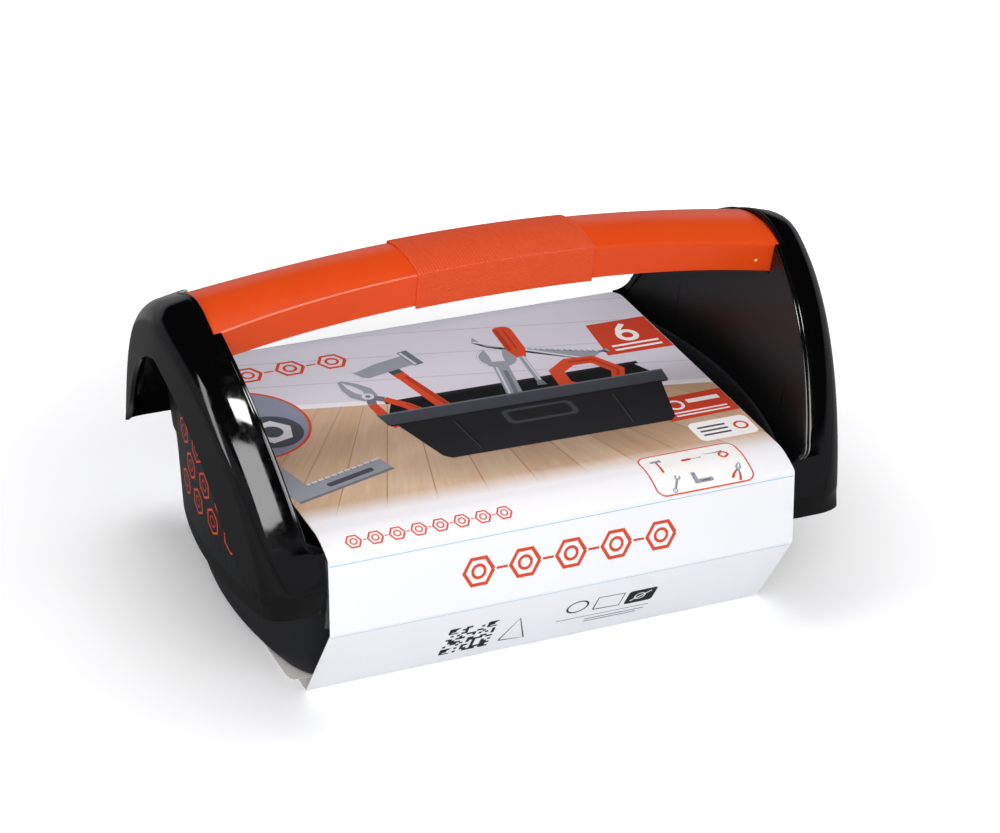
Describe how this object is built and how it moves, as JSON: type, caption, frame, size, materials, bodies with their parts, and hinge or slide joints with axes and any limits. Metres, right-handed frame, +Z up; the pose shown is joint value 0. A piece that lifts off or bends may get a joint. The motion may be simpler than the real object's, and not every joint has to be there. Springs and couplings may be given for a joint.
{
  "type": "toy tool box",
  "caption": "Toy tool box: a black tray between arched end caps joined by an orange handle, in a printed cardboard sleeve, with loose toy tools lying inside.",
  "frame": {"origin": "middle of the underside of the cardboard sleeve, on the surface the box stands on", "axes": "+X along the handle towards the right end as seen from the front, +Y towards the rear, +Z up"},
  "size_m": [0.376, 0.2338, 0.2021],
  "materials": {
    "cap_plastic": "glossy black, slightly satin on the outer face",
    "tray_plastic": "satin black",
    "band_plastic": "satin slate grey",
    "handle_plastic": "semi-gloss orange",
    "grip_plastic": "fine textured orange",
    "label_film": "satin dark film with an orange outline",
    "cardboard": "white coated cardboard with colour print",
    "tool_plastic": "satin light grey"
  },
  "bodies": {
    "box": {"tray": "tray_plastic", "end_cap_left": "cap_plastic", "end_cap_right": "cap_plastic", "end_label_left": "label_film", "end_label_right": "label_film", "handle_bar": "handle_plastic", "handle_grip": "grip_plastic", "front_band": "band_plastic", "rear_band": "band_plastic", "front_badge": "band_plastic", "rear_badge": "band_plastic", "cardboard_sleeve": "cardboard"},
    "hammer": {"hammer_head": "tool_plastic", "hammer_handle": "handle_plastic"},
    "screwdriver": {"screwdriver_shaft": "tool_plastic", "screwdriver_handle": "handle_plastic"},
    "saw": {"saw_blade": "tool_plastic", "saw_handle": "handle_plastic"},
    "spanner": {"spanner": "tool_plastic"},
    "set_square": {"set_square": "tool_plastic"},
    "pliers": {"pliers_fixed_half": "tool_plastic", "pliers_pin": "tool_plastic", "pliers_fixed_grip": "handle_plastic"},
    "pliers_half": {"pliers_moving_half": "tool_plastic", "pliers_moving_grip": "handle_plastic"}
  },
  "joints": [
    {"name": "hammer_lift", "type": "slide", "parent": "box", "child": "hammer", "axis": [0, 0, 1], "range_m": [0, 0.06]},
    {"name": "screwdriver_lift", "type": "slide", "parent": "box", "child": "screwdriver", "axis": [0, 0, 1], "range_m": [0, 0.06]},
    {"name": "saw_lift", "type": "slide", "parent": "box", "child": "saw", "axis": [0, 0, 1], "range_m": [0, 0.022]},
    {"name": "spanner_lift", "type": "slide", "parent": "box", "child": "spanner", "axis": [0, 0, 1], "range_m": [0, 0.08]},
    {"name": "set_square_lift", "type": "slide", "parent": "box", "child": "set_square", "axis": [0, 0, 1], "range_m": [0, 0.009]},
    {"name": "pliers_lift", "type": "slide", "parent": "box", "child": "pliers", "axis": [0, 0, 1], "range_m": [0, 0.06]},
    {"name": "pliers_pivot", "type": "hinge", "parent": "pliers", "child": "pliers_half", "pos_m": [0.0034, -0.0231, 0.0125], "axis": [0, 0, 1], "range_deg": [0, 18]}
  ]
}
